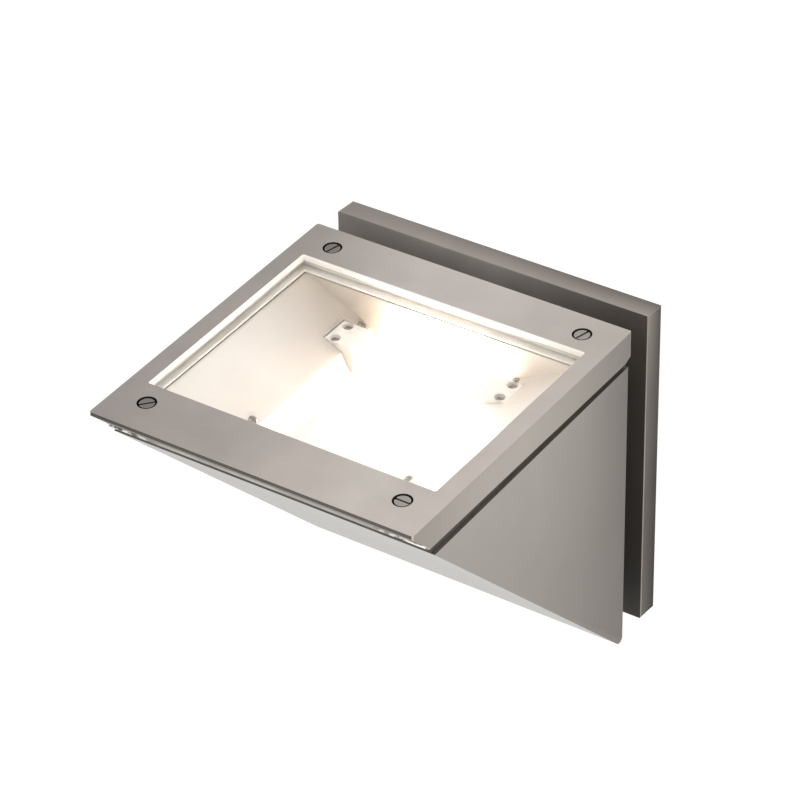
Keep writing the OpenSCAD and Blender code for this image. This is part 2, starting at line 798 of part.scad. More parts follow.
// Reflector: a rim, two sloped wings and a bowl
rim_half = window_half - reflector_side;
rim_y0 = window_y0 - reflector_back;
rim_y1 = window_y1 - reflector_front;
rim_depth = -glass_z + glass_frame_t + reflector_gap;
wing_slope = atan((wing_depth - rim_depth) / (rim_half - wing_end));
trough_slope = atan((floor_depth - wing_depth) / (wing_end - floor_half));
function bowl_front(depth) = rim_y1 + (depth - rim_depth) / tan(bowl_front_slope);
wing_y0 = rim_y0 - wing_lean;
floor_y0 = wing_y0 - floor_lean;
cap_end = lamp_len / 2 + cap_recess;
notch_half = cap_end + side_gap + holder_l + notch_gap;
notch_y0 = -lamp_back + holder_w / 2 + notch_gap;
notch_y1 = -lamp_back - holder_w / 2 - notch_gap;
notch_bottom = lamp_depth + holder_h / 2 + notch_gap;
function wing_at(x) = rim_depth + (rim_half - x) * tan(wing_slope);

// How far the edge between faces sloped a and b moves out and down, once both move out by one
function edge_move(a, b) = [sin((a + b) / 2), cos((a + b) / 2)] / cos((b - a) / 2);
// A level slice of the bowl, with its back and front faces moved out by out
module bowl_slice(half, back, depth, out) {
    front = bowl_front(depth) - out / sin(bowl_front_slope);
    translate([-half, front, -depth]) cube([2 * half, back + out - front, foil / 10]);
}
// The bowl's solid body, its faces moved out by out and its top raised by lift
module bowl_body(out, lift) {
    wing = [wing_end, wing_depth] + out * edge_move(wing_slope, trough_slope);
    low = [floor_half, floor_depth] + out * edge_move(trough_slope, 0);
    top_half = rim_half + lift / tan(wing_slope) + out / sin(wing_slope);
    hull() {
        bowl_slice(top_half, rim_y0, rim_depth - lift, out);
        bowl_slice(wing[0], wing_y0, wing[1], out);
    }
    hull() {
        bowl_slice(wing[0], wing_y0, wing[1], out);
        bowl_slice(low[0], floor_y0, low[1], out);
    }
}

reflector_screw_x = wing_end + small_screw_d + 2 * side_gap;
reflector_screw_ys = [wing_y0 - reflector_screw_back, bowl_front(wing_depth) + reflector_screw_front];
chassis_y1 = reflector_screw_ys[1] - post_d / 2 - chassis_edge;
// Each reflector screw stands square to its wing
module at_reflector_screws() {
    both_sides() for (y = reflector_screw_ys)
        translate([reflector_screw_x, y, -wing_at(reflector_screw_x)])
            rotate([0, -wing_slope, 0]) children();
}

module reflector() {
    color(pale_metal) on_lid() difference() {
        bowl_body(foil, 0);
        bowl_body(0, over);
        for (x = [-notch_half, floor_half - over])
            translate([x, notch_y1, -notch_bottom])
                cube([notch_half - floor_half + over, notch_y0 - notch_y1, notch_bottom]);
        at_reflector_screws() translate([0, 0, -small_screw_d])
            cylinder(d = small_screw_d + 2 * screw_fit, h = 2 * small_screw_d);
    }
}

module reflector_screws() {
    color(dark_steel) on_lid() at_reflector_screws() translate([0, 0, side_gap / 3])
        pan_screw(small_screw_d, small_screw_d * 2, small_screw_d * 1.6, small_screw_d * 0.5);
}

module reflector_posts() {
    post_x = wing_end + foil + side_gap + post_d / 2;
    color(pale_metal) on_lid() difference() {
        both_sides() difference() {
            for (y = reflector_screw_ys)
                translate([post_x, y, -chassis_depth]) cylinder(d = post_d, h = chassis_depth - rim_depth);
            translate([reflector_screw_x, rim_y1, -wing_at(reflector_screw_x)])
                rotate([0, -wing_slope, 0]) translate([-lid_w / 2, 0, -foil - side_gap])
                    cube([lid_w, rim_y0 - rim_y1, lid_w]);
        }
        at_reflector_screws() translate([0, 0, -small_screw_d * 3])
            cylinder(d = small_screw_d + screw_fit, h = small_screw_d * 3 + over);
    }
}

// Lampholders, their brackets and screws, built on the right and mirrored
holder_x0 = cap_end + side_gap;
holder_bottom = lamp_depth + holder_h / 2;
holder_screw_x = holder_x0 + holder_l * 0.72;
holder_screw_y = holder_w * 0.33;
bracket_x0 = holder_x0 + holder_l / 4;
bracket_l_x = holder_x0 + holder_l - bracket_x0;
bore_depth = plunger_l + plunger_travel + spring_wire * 10;

module on_lamp_axis() {
    on_lid() translate([0, -lamp_back, -lamp_depth]) children();
}
module along_x(x) {
    translate([x, 0, 0]) rotate([0, 90, 0]) children();
}

module holder_right() {
    color(ceramic_white) on_lamp_axis() difference() {
        translate([holder_x0, -holder_w / 2, -holder_h / 2]) cube([holder_l, holder_w, holder_h]);
        along_x(holder_x0 - over) cylinder(d = plunger_d + 2 * plunger_fit, h = bore_depth + over);
        along_x(holder_x0 + bore_depth - over) cylinder(d = lead_d, h = holder_l);
        for (y = [-1, 1]) translate([holder_screw_x, y * holder_screw_y, -holder_h])
            cylinder(d = holder_screw_d + 2 * screw_fit, h = holder_h * 2);
        for (y = [-1, 1]) translate([holder_screw_x, y * holder_screw_y, holder_h / 2 - holder_screw_d])
            cylinder(d = holder_screw_d * 2, h = holder_h);
    }
}
module lampholder_right() {
    holder_right();
}
module lampholder_left() {
    mirror([1, 0, 0]) holder_right();
}

module holder_brackets() {
    leg = chassis_t * 0.75;
    drop = chassis_depth - holder_bottom;
    color(pale_metal) on_lid() both_sides() difference() {
        translate([bracket_x0, -lamp_back - holder_w / 2, -chassis_depth])
            cube([bracket_l_x, holder_w, drop]);
        translate([bracket_x0 + leg, -lamp_back - holder_w, -chassis_depth - over])
            cube([bracket_l_x - 2 * leg, 2 * holder_w, drop - leg + over]);
        for (y = [-1, 1]) translate([holder_screw_x, -lamp_back + y * holder_screw_y, -chassis_depth])
            cylinder(d = holder_screw_d + screw_fit, h = drop + over);
    }
}

module holder_screws() {
    d = holder_screw_d;
    seat = holder_h / 2 - d;
    color(dark_steel) on_lamp_axis() both_sides() for (y = [-1, 1])
        translate([holder_screw_x, y * holder_screw_y, seat])
            pan_screw(d, seat + holder_h / 2 + chassis_t, d * 1.8, d * 0.7);
}

plunger_x0 = holder_x0 + spring_wire;
nose_x0 = lamp_len / 2 + seat_gap;

module plunger_right() {
    color(brass_yellow) on_lamp_axis() {
        along_x(nose_x0 + nose_d / 2) cylinder(d = nose_d, h = plunger_x0 - nose_x0);
        translate([nose_x0 + nose_d / 2, 0, 0]) sphere(d = nose_d);
        along_x(plunger_x0) cylinder(d = plunger_d, h = plunger_l);
    }
}
module contact_plunger_right() {
    plunger_right();
}
module contact_plunger_left() {
    mirror([1, 0, 0]) plunger_right();
}

// A round tube of radius r along a list of points, with flat ends
function unit(v) = v / norm(v);
function tangent(p, i) = unit(p[min(i + 1, len(p) - 1)] - p[max(i - 1, 0)]);
function ring_points(p, i, r, sides, ref) =
    let (t = tangent(p, i), a = unit(cross(t, ref)), b = cross(t, a))
    [for (k = [0 : sides - 1]) p[i] + r * (cos(360 * k / sides) * a + sin(360 * k / sides) * b)];
module tube(p, r, sides, ref) {
    n = len(p);
    rings = [for (i = [0 : n - 1]) each ring_points(p, i, r, sides, ref)];
    walls = [for (i = [0 : n - 2], k = [0 : sides - 1]) let (m = (k + 1) % sides)
        each [[i * sides + k, i * sides + m, (i + 1) * sides + m],
              [i * sides + k, (i + 1) * sides + m, (i + 1) * sides + k]]];
    first = [[for (k = [sides - 1 : -1 : 0]) k]];
    last = [[for (k = [0 : sides - 1]) (n - 1) * sides + k]];
    polyhedron(concat(rings, [p[0], p[n - 1]]), concat(
        [for (f = walls) [f[0], f[1], f[2]]],
        [for (k = [0 : sides - 1]) [(k + 1) % sides, k, n * sides]],
        [for (k = [0 : sides - 1]) [(n - 1) * sides + k, (n - 1) * sides + (k + 1) % sides, n * sides + 1]]
    ));
}
// A smooth curve through a list of points, with steps points for each span
function curve_at(a, b, c, d, t) =
    0.5 * (2 * b + (c - a) * t + (2 * a - 5 * b + 4 * c - d) * t * t + (3 * b - a - 3 * c + d) * t * t * t);
function smooth(p, steps) = concat(
    [for (i = [0 : len(p) - 2], s = [0 : steps - 1])
        curve_at(p[max(i - 1, 0)], p[i], p[i + 1], p[min(i + 2, len(p) - 1)], s / steps)],
    [p[len(p) - 1]]
);

// Turns of each contact spring
spring_turns = 4;
spring_x0 = plunger_x0 + plunger_l;
spring_x1 = holder_x0 + bore_depth;
module spring_right() {
    r = plunger_d / 2 - spring_wire;
    steps = 12;
    x0 = spring_x0 + spring_wire / 2 + seat_gap;
    x1 = spring_x1 - spring_wire / 2 - seat_gap;
    n = spring_turns * steps;
    color(pale_metal) on_lamp_axis() tube([for (i = [0 : n])
        [x0 + (x1 - x0) * i / n, r * cos(360 * i / steps), r * sin(360 * i / steps)]],
        spring_wire / 2, 6, [1, 0, 0]);
}
module contact_spring_right() {
    spring_right();
}
module contact_spring_left() {
    mirror([1, 0, 0]) spring_right();
}

// Lamp
module lamp_caps() {
    color(ceramic_white) on_lamp_axis() both_sides() difference() {
        along_x(cap_end - cap_l) cylinder(d = cap_d, h = cap_l);
        along_x(lamp_len / 2) cylinder(d = nose_d + 4 * screw_fit, h = cap_recess + over);
    }
}
module lamp_tube() {
    taper = (2 * (cap_end - cap_l) - lamp_tube_l) / 2;
    color([0.95, 0.95, 0.95, 0.4]) on_lamp_axis() difference() {
        union() {
            along_x(-lamp_tube_l / 2) cylinder(d = lamp_d, h = lamp_tube_l);
            both_sides() along_x(lamp_tube_l / 2)
                cylinder(d1 = lamp_d, d2 = cap_d * 0.5, h = taper);
        }
        along_x(-lamp_tube_l / 2) cylinder(d = lamp_d - 2 * foil, h = lamp_tube_l);
    }
}
module lamp_filament() {
    color([1, 0.8, 0.5]) on_lamp_axis() along_x(-lamp_tube_l / 2) cylinder(d = foil, h = lamp_tube_l);
}

// Terminal block, earth point and leads
block_pitch = block_w / 3;
block_z = neck_z - gland_flats / 2 / cos(30) - block_gap - block_h / 2;
block_top = [0, inner_y - block_t * 0.45, block_z + block_h / 4];
lead_r = lead_d * 0.475;
module terminal_block() {
    wire_hole = lead_d * 1.6;
    color(ceramic_white) difference() {
        translate([-block_w / 2, inner_y - block_t, block_z - block_h / 2])
            cube([block_w, block_t, block_h]);
        for (i = [-1, 0, 1]) {
            translate([i * block_pitch, block_top[1], block_z - block_h])
                cylinder(d = wire_hole, h = block_h * 2);
            for (z = [-1, 1]) translate([i * block_pitch, block_top[1], block_z + z * block_h / 4])
                rotate([90, 0, 0]) cylinder(d = wire_hole * 0.9, h = block_t);
        }
        for (x = [-1, 1]) translate([x * block_pitch / 2, inner_y + over, block_z])
            rotate([90, 0, 0]) cylinder(d = small_screw_d + 2 * screw_fit, h = block_t + 2 * over);
    }
}
module terminal_screws() {
    d = lead_d * 1.2;
    y = block_top[1] - lead_r - side_gap;
    color(brass_yellow) for (i = [-1, 0, 1], z = [-1, 1])
        translate([i * block_pitch, y, block_z + z * block_h / 4]) rotate([90, 0, 0]) difference() {
            cylinder(d = d, h = block_t * 0.3);
            translate([-d, -d / 8, block_t * 0.3 - d / 4]) cube([2 * d, d / 4, d]);
        }
}
module block_screws() {
    color(dark_steel) for (x = [-1, 1]) translate([x * block_pitch / 2, inner_y - block_t, block_z])
        rotate([90, 0, 0]) pan_screw(small_screw_d, block_t, small_screw_d * 1.8, small_screw_d * 0.6);
}

earth_x = block_w / 2 + block_h;
// Diameter of the earth stud
earth_d = 4;
module earth_stud() {
    color(brass_yellow) translate([earth_x, inner_y, block_z]) rotate([90, 0, 0])
        cylinder(d = earth_d, h = earth_d * 3);
}
module earth_nut() {
    color(brass_yellow) translate([earth_x, inner_y - lead_d, block_z]) rotate([90, 0, 0]) difference() {
        union() {
            cylinder(d = earth_d * 2.2, h = earth_d / 4);
            translate([0, 0, earth_d / 4]) hex(earth_d * 1.75, earth_d * 0.8);
        }
        translate([0, 0, -over]) cylinder(d = earth_d + screw_fit / 2, h = earth_d * 2 + over);
    }
}

holder_end = lid_pt(-lamp_back, -lamp_depth);
holder_end_x = holder_x0 + holder_l;
// Ways of the leads, as shares between the block and the holder
lead_shares = [[0, 0, 0.14], [0, 0, 0.19], [0.75, 0.05, 0.42], [1.35, 0.2, 0.66], [1.42, 0.6, 0.86]];
// How far the lead runs straight before it enters the holder
lead_straight = lead_d * 3;
function lead_route(x0) = concat(
    [[x0, block_top[1], block_top[2]]],
    [for (s = lead_shares) [
        x0 + s[0] * (holder_end_x - x0),
        block_top[1] + s[1] * (holder_end[0] - block_top[1]),
        block_top[2] + s[2] * (holder_end[1] - block_top[2])
    ]],
    [for (x = [lead_straight, lead_straight / 2, -lead_d / 2])
        [holder_end_x + x, holder_end[0], holder_end[1]]]
);
module lead_right(x0) {
    color([0.93, 0.90, 0.84]) tube(smooth(lead_route(x0), 6), lead_r, 8, [0.3, 0.9, 0.2]);
}
module lamp_lead_right() {
    lead_right(block_pitch);
}
module lamp_lead_left() {
    mirror([1, 0, 0]) lead_right(block_pitch);
}
module earth_lead() {
    wall = inner_y - lead_d / 2;
    front = block_top[1] - lead_d * 1.7;
    route = [
        block_top,
        [0, block_top[1], block_z + block_h * 0.55],
        [0, block_top[1], block_z + block_h * 0.75],
        [block_pitch, front, block_z + block_h * 0.95],
        [(block_pitch + earth_x) / 2, front, block_z + block_h],
        [earth_x, wall - lead_d, block_z + block_h * 0.9],
        [earth_x, wall - lead_d * 0.15, block_z + block_h * 0.65],
        [earth_x, wall, block_z + block_h * 0.4],
        [earth_x, wall, block_z + earth_d * 0.6]
    ];
    color([0.55, 0.68, 0.25]) tube(smooth(route, 6), lead_r, 8, [0.2, 0.95, 0.1]);
}

wall_bracket();
bracket_studs();
wall_gasket();
wall_plate();
plate_grommet();
neck_frame();
neck_seal_rear();
neck_seal_front();
housing_wrap();
housing_rim();
housing_side_left();
housing_side_right();
stud_washers();
stud_nuts();
cable_gland();
gland_seal();
gland_nut();
terminal_block();
terminal_screws();
block_screws();
earth_stud();
earth_nut();
chassis_plate();
chassis_studs();
chassis_nuts();
reflector_posts();
reflector();
reflector_screws();
holder_brackets();
lampholder_left();
lampholder_right();
holder_screws();
contact_plunger_left();
contact_plunger_right();
contact_spring_left();
contact_spring_right();
lamp_tube();
lamp_caps();
lamp_filament();
lamp_lead_left();
lamp_lead_right();
earth_lead();
lid_bushes();
lid_gasket();
lid_frame();
glass_gasket();
glass_pane();
glass_frame();
glass_frame_screws();
lid_screws();
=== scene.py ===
# Looks of the wedge-shaped wall up-light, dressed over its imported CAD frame
import json
import math

import bmesh
import bpy
from mathutils import Matrix, Vector

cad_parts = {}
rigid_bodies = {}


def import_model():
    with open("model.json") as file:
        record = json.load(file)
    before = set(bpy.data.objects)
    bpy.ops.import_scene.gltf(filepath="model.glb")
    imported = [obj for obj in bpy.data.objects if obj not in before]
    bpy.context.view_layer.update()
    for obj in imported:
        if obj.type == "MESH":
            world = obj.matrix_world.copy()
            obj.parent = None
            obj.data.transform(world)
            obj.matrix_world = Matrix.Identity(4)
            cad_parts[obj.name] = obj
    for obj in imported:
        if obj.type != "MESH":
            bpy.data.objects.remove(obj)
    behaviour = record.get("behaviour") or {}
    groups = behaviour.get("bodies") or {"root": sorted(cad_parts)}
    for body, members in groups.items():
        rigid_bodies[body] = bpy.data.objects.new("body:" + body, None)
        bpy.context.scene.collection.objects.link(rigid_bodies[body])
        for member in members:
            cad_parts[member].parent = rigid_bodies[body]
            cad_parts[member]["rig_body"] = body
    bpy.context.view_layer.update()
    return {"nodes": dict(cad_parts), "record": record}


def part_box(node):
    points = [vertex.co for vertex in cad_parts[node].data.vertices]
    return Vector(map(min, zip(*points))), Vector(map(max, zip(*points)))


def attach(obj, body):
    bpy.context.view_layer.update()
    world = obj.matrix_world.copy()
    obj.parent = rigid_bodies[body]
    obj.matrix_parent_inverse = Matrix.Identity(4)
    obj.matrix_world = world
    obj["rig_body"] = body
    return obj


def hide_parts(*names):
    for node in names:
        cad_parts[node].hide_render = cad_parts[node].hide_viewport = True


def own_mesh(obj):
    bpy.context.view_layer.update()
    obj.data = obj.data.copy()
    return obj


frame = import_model()
NODES = frame["nodes"]
MM = 0.001


def node_body(name):
    """The body that a CAD node belongs to"""
    return NODES[name]["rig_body"]


# Camera at the photograph's viewing angle: metres, degrees and millimetres of lens and sensor
CAMERA_POS = (0.9778, -1.4622, 1.1239)
CAMERA_AZIMUTH = 35.6165
CAMERA_ELEVATION = 32.516
CAMERA_ROLL = -0.924
CAMERA_LENS = 172.19
SENSOR = 36.0
CLIP_NEAR = 0.05
CLIP_FAR = 60.0


def make_camera():
    az = math.radians(CAMERA_AZIMUTH)
    el = math.radians(CAMERA_ELEVATION)
    roll = math.radians(CAMERA_ROLL)
    forward = Vector((-math.sin(az) * math.cos(el), math.cos(az) * math.cos(el), -math.sin(el)))
    level = Vector((math.cos(az), math.sin(az), 0))
    upright = level.cross(forward)
    right = level * math.cos(roll) + upright * math.sin(roll)
    up = upright * math.cos(roll) - level * math.sin(roll)
    data = bpy.data.cameras.new("camera")
    data.lens = CAMERA_LENS
    data.sensor_width = SENSOR
    data.sensor_fit = "HORIZONTAL"
    data.clip_start = CLIP_NEAR
    data.clip_end = CLIP_FAR
    camera = bpy.data.objects.new("camera", data)
    turn = Matrix((right, up, -forward)).transposed().to_4x4()
    camera.matrix_world = Matrix.Translation(CAMERA_POS) @ turn
    bpy.context.scene.collection.objects.link(camera)
    bpy.context.scene.camera = camera


make_camera()

# Colours are written as they look, in sRGB, and turned into amounts of light by its curve
FULL = 255
KNEE = 0.04045
TOE = 12.92
OFFSET = 0.055
STRETCH = 1.055
GAMMA = 2.4
WHITE = (1, 1, 1, 1)


def channel_light(value):
    return value / TOE if value <= KNEE else ((value + OFFSET) / STRETCH) ** GAMMA


def colour(text):
    channels = [channel_light(int(text[i:i + 2], 16) / FULL) for i in (0, 2, 4)]
    return (*channels, 1.0)


# Most of a noise lies between NOISE_LOW and NOISE_HIGH; clouds change colour from CLOUD_LOW to CLOUD_HIGH
NOISE_LOW = 0.3
NOISE_HIGH = 0.7
CLOUD_LOW = 0.35
CLOUD_HIGH = 0.65
NOISE_DETAIL = 3.0
NEW_STOP_AT = 0.5

# The materials of all looks, by name
LOOKS = {}


class Look:
    """A material with its shader, and short calls for the nodes that vary it"""

    def __init__(self, name, base, rough, metal=0.0):
        self.mat = bpy.data.materials.new(name)
        LOOKS[name] = self.mat
        self.mat.use_nodes = True
        self.tree = self.mat.node_tree
        self.shader = self.tree.nodes["Principled BSDF"]
        self.set("Base Color", colour(base))
        self.set("Roughness", rough)
        self.set("Metallic", metal)
        self.place = self.add("ShaderNodeTexCoord").outputs["Object"]

    def set(self, socket, value):
        self.shader.inputs[socket].default_value = value

    def vary(self, socket, value):
        """Lets a node drive one of the shader's sockets"""
        self.link(value, self.shader.inputs[socket])

    def add(self, kind, **props):
        node = self.tree.nodes.new(kind)
        for key, value in props.items():
            setattr(node, key, value)
        return node

    def link(self, a, b):
        self.tree.links.new(a, b)

    def feed(self, value, socket):
        """Gives a socket a value, or links it if the value is itself a socket"""
        if isinstance(value, bpy.types.NodeSocket):
            self.link(value, socket)
        else:
            socket.default_value = value

    def noise(self, cells, detail=NOISE_DETAIL, stretch=(1, 1, 1)):
        """Soft noise with so many cells per metre, fewer along an axis where stretch is below 1"""
        where = self.add("ShaderNodeMapping")
        where.inputs["Scale"].default_value = stretch
        self.link(self.place, where.inputs["Vector"])
        tex = self.add("ShaderNodeTexNoise")
        tex.inputs["Scale"].default_value = cells
        tex.inputs["Detail"].default_value = detail
        self.link(where.outputs["Vector"], tex.inputs["Vector"])
        return tex.outputs["Fac"]

    def ramp(self, fac, stops):
        """Maps 0 to 1 onto colour stops, given as (place, colour)"""
        node = self.add("ShaderNodeValToRGB")
        spots = node.color_ramp.elements
        while len(spots) < len(stops):
            spots.new(NEW_STOP_AT)
        for spot, (at, col) in zip(spots, stops):
            spot.position = at
            spot.color = col
        self.link(fac, node.inputs["Fac"])
        return node.outputs["Color"]

    def clouds(self, cells, dark, light):
        """Soft clouds between two colours"""
        return self.ramp(self.noise(cells), [(CLOUD_LOW, colour(dark)), (CLOUD_HIGH, colour(light))])

    def span(self, fac, low, high, at_low=NOISE_LOW, at_high=NOISE_HIGH):
        """Maps a noise value onto a range of numbers"""
        node = self.add("ShaderNodeMapRange")
        node.inputs["From Min"].default_value = at_low
        node.inputs["From Max"].default_value = at_high
        node.inputs["To Min"].default_value = low
        node.inputs["To Max"].default_value = high
        self.link(fac, node.inputs["Value"])
        return node.outputs["Result"]

    def mix(self, fac, a, b, kind="MIX"):
        """Blends two colours; each may be a socket or a value"""
        node = self.add("ShaderNodeMix", data_type="RGBA", blend_type=kind)
        for socket, value in (("Factor", fac), ("A", a), ("B", b)):
            inputs = [i for i in node.inputs if i.name == socket and i.enabled]
            self.feed(value, inputs[0] if socket == "Factor" else inputs[-1])
        return [o for o in node.outputs if o.enabled][0]

    def maths(self, kind, a, b=0.0):
        node = self.add("ShaderNodeMath", operation=kind)
        self.feed(a, node.inputs[0])
        self.feed(b, node.inputs[1])
        return node.outputs["Value"]

    def blend(self, *shares):
        """Sum of several noises, each given with its share"""
        parts = [self.maths("MULTIPLY", noise, share) for noise, share in shares]
        total = parts[0]
        for part in parts[1:]:
            total = self.maths("ADD", total, part)
        return total

    def coordinate(self, axis):
        split = self.add("ShaderNodeSeparateXYZ")
        self.link(self.place, split.inputs["Vector"])
        return split.outputs[axis]

    def along(self, axis, start, end):
        """Runs from 0 at start to 1 at end, in metres along an axis of the object"""
        return self.span(self.coordinate(axis), 0.0, 1.0, start, end)

    def attribute(self, name):
        return self.add("ShaderNodeAttribute", attribute_name=name).outputs["Fac"]

    def grey(self, value):
        """The same number in all three colour channels"""
        node = self.add("ShaderNodeCombineColor")
        for channel in node.inputs:
            self.link(value, channel)
        return node.outputs["Color"]

    def bump(self, height, depth, strength):
        node = self.add("ShaderNodeBump")
        node.inputs["Strength"].default_value = strength
        node.inputs["Distance"].default_value = depth
        self.link(height, node.inputs["Height"])
        self.vary("Normal", node.outputs["Normal"])


# Painted light and shade as slow drifts of tone: rows of tones spread along one axis, one row at each end
# of a second axis
def painted_light_drift(look, painted_light_rows, across, down):
    place = look.along(*across)
    tones = []
    for row in painted_light_rows:
        stops = [(i / (len(row) - 1), colour(tone)) for i, tone in enumerate(row)]
        tones.append(look.ramp(place, stops))
    return look.mix(look.along(*down), tones[0], tones[1]) if len(painted_light_rows) > 1 else tones[0]


# Shades a tone by a noise, darker and lighter by the same share
SHADE_LOW = 0.38
SHADE_HIGH = 0.62


def shaded(look, tone, noise, share):
    shade = look.span(noise, 1 - share, 1 + share, SHADE_LOW, SHADE_HIGH)
    return look.mix(1.0, tone, look.grey(shade), "MULTIPLY")


# Satin stainless steel: painted light and shade as drifts of tone, blasted clouds, fine grain, and edges
# in a tone of their own that is partly wear and partly a painted highlight
LEFT_TO_RIGHT = ("X", -0.1, 0.1)
WIDE_CELLS = 14
WIDE_DETAIL = 2.0
WIDE_SHARE = 0.45
CLOUD_CELLS = 55
CLOUD_DETAIL = 4.0
CLOUD_SHARE = 0.4
STREAK_CELLS = 40
STREAK_DETAIL = 2.0
STREAK_STRETCH = (0.15, 1, 1)
STREAK_SHARE = 0.15
GRAIN_CELLS = 1500
GRAIN_DETAIL = 2.0
GRAIN_DEPTH = 0.00002
GRAIN_STRENGTH = 0.4
ROUGH_CLOUDS = 0.6
ROUGH_GRAIN = 0.4
# Edges in a tone of their own, partly wear and partly a painted highlight, broken into patches
WORN_CELLS = 60
WORN_LEAST = 0.05
WORN_MOST = 0.4


def satin_steel(name, painted_light_rows, across=LEFT_TO_RIGHT, down=None, rough=(0.42, 0.54), metal=1.0,
                edge="cfc9c2", clouds=0.07):
    look = Look(name, painted_light_rows[0][0], rough[0], metal)
    wide = look.noise(WIDE_CELLS, WIDE_DETAIL)
    cloud = look.noise(CLOUD_CELLS, CLOUD_DETAIL)
    streak = look.noise(STREAK_CELLS, STREAK_DETAIL, STREAK_STRETCH)
    grain = look.noise(GRAIN_CELLS, GRAIN_DETAIL)
    mottle = look.blend((wide, WIDE_SHARE), (cloud, CLOUD_SHARE), (streak, STREAK_SHARE))
    tone = shaded(look, painted_light_drift(look, painted_light_rows, across, down), mottle, clouds)
    patches = look.span(look.noise(WORN_CELLS), WORN_LEAST, WORN_MOST)
    worn_and_sheen = look.maths("MULTIPLY", look.attribute("wear_and_sheen"), patches)
    look.vary("Base Color", look.mix(worn_and_sheen, tone, colour(edge)))
    look.vary("Roughness", look.span(look.blend((cloud, ROUGH_CLOUDS), (grain, ROUGH_GRAIN)), *rough))
    look.bump(grain, GRAIN_DEPTH, GRAIN_STRENGTH)


# Bright sheet of the bowl: painted light and shade as drifts, and soft clouds alone, so that the lamp's
# light stays even on it
BOWL_ROUGH = (0.5, 0.6)
BOWL_METAL = 0.2
BOWL_CLOUDS = 0.015
SHEET_CELLS = 45


def bowl_sheet(name, painted_light_rows, across, down):
    look = Look(name, painted_light_rows[0][0], BOWL_ROUGH[0], BOWL_METAL)
    cloud = look.noise(SHEET_CELLS)
    look.vary("Base Color", shaded(look, painted_light_drift(look, painted_light_rows, across, down), cloud, BOWL_CLOUDS))
    look.vary("Roughness", look.span(cloud, *BOWL_ROUGH))


# Plain metal: soft clouds between two tones, fine grain, and paler edges that are partly wear and partly
# a painted highlight
METAL_GRAIN_CELLS = 700
METAL_GRAIN_DEPTH = 0.00003
METAL_GRAIN_STRENGTH = 0.6
METAL_WORN_SHEEN = 0.6


def plain_metal(name, base, light, rough=(0.25, 0.4), edge="e6e2dc", metal=1.0):
    look = Look(name, base, rough[0], metal)
    grain = look.noise(METAL_GRAIN_CELLS, GRAIN_DETAIL)
    tone = look.clouds(SHEET_CELLS, base, light)
    worn_and_sheen = look.maths("MULTIPLY", look.attribute("wear_and_sheen"), METAL_WORN_SHEEN)
    look.vary("Base Color", look.mix(worn_and_sheen, tone, colour(edge)))
    look.vary("Roughness", look.span(grain, *rough))
    look.bump(grain, METAL_GRAIN_DEPTH, METAL_GRAIN_STRENGTH)


# The band at the foot of the lid's bevel: painted pale as a highlight, and rough cut towards both ends,
# where painted glints lie over its bumps
END_START = 0.062
END_FULL = 0.09
BAND_ROUGH = 0.4
BAND_CELLS = 70
FLECK_CELLS = 520
FLECK_DETAIL = 2.0
FLECK_STRETCH = (0.45, 1, 1)
PAINTED_GLINT_TONES = ((0.42, "4a4641"), (0.5, "a6a29d"), (0.58, "f4f2ee"))
FLECK_DEPTH = 0.0003
FLECK_STRENGTH = 0.6


def painted_glint_band():
    look = Look("painted_glint_band", "b4b0ab", BAND_ROUGH, 1.0)
    off_middle = look.maths("ABSOLUTE", look.coordinate("X"))
    out = look.span(off_middle, 0.0, 1.0, END_START, END_FULL)
    rough_cut_and_glints = look.noise(FLECK_CELLS, FLECK_DETAIL, FLECK_STRETCH)
    patches = look.ramp(rough_cut_and_glints, [(at, colour(tone)) for at, tone in PAINTED_GLINT_TONES])
    plain = look.clouds(BAND_CELLS, "a8a49f", "bcb8b4")
    look.vary("Base Color", look.mix(out, plain, patches))
    look.bump(rough_cut_and_glints, FLECK_DEPTH, FLECK_STRENGTH)


# Rubber, ceramic, paint and ground glass: soft clouds between two tones, and a fine uneven skin
SKIN_STRENGTH = 0.7
ROUGH_SPREAD = 0.08


def soft_solid(name, base, light, rough=0.6, grain=400, depth=0.00008, cells=60):
    look = Look(name, base, rough)
    skin = look.noise(grain)
    look.vary("Base Color", look.clouds(cells, base, light))
    look.vary("Roughness", look.span(skin, rough - ROUGH_SPREAD, rough + ROUGH_SPREAD))
    look.bump(skin, depth, SKIN_STRENGTH)


# Flat clear glass: most of the light goes straight through, so that the lamp lights what lies outside
# The index is low, so that the pane doesn't throw the lamp's light back onto the bowl as grain
GLASS_COVER = 0.1
GLASS_INDEX = 1.05
HAZE_CELLS = 12


def clear(name, tint, faint):
    look = Look(name, tint, 0.0)
    look.set("Transmission Weight", 1.0)
    look.set("IOR", GLASS_INDEX)
    look.set("Alpha", GLASS_COVER)
    look.vary("Base Color", look.clouds(HAZE_CELLS, tint, faint))


# The lit lamp, a little uneven along its length
GLOW_WARM = "fff4e6"
GLOW_STRENGTH = 49.0
GLOW_SPREAD = 0.06
GLOW_ROUGH = 0.2
GLOW_CELLS = 120
GLOW_DETAIL = 1.0
GLOW_STRETCH = (1, 0.2, 0.2)


def glowing(name, tint, strength):
    look = Look(name, tint, GLOW_ROUGH)
    look.set("Emission Color", colour(tint))
    along = look.noise(GLOW_CELLS, GLOW_DETAIL, GLOW_STRETCH)
    least = strength * (1 - GLOW_SPREAD)
    most = strength * (1 + GLOW_SPREAD)
    look.vary("Emission Strength", look.span(along, least, most))


# Sleeve of the earth lead, striped in green and yellow
STRIPE_SCALE = 60
STRIPE_TONES = ((0.45, "4f7f2c"), (0.55, "d8c53a"))
SLEEVE_ROUGH = 0.45
SLEEVE_CELLS = 500
SLEEVE_DEPTH = 0.00005
SLEEVE_STRENGTH = 0.5


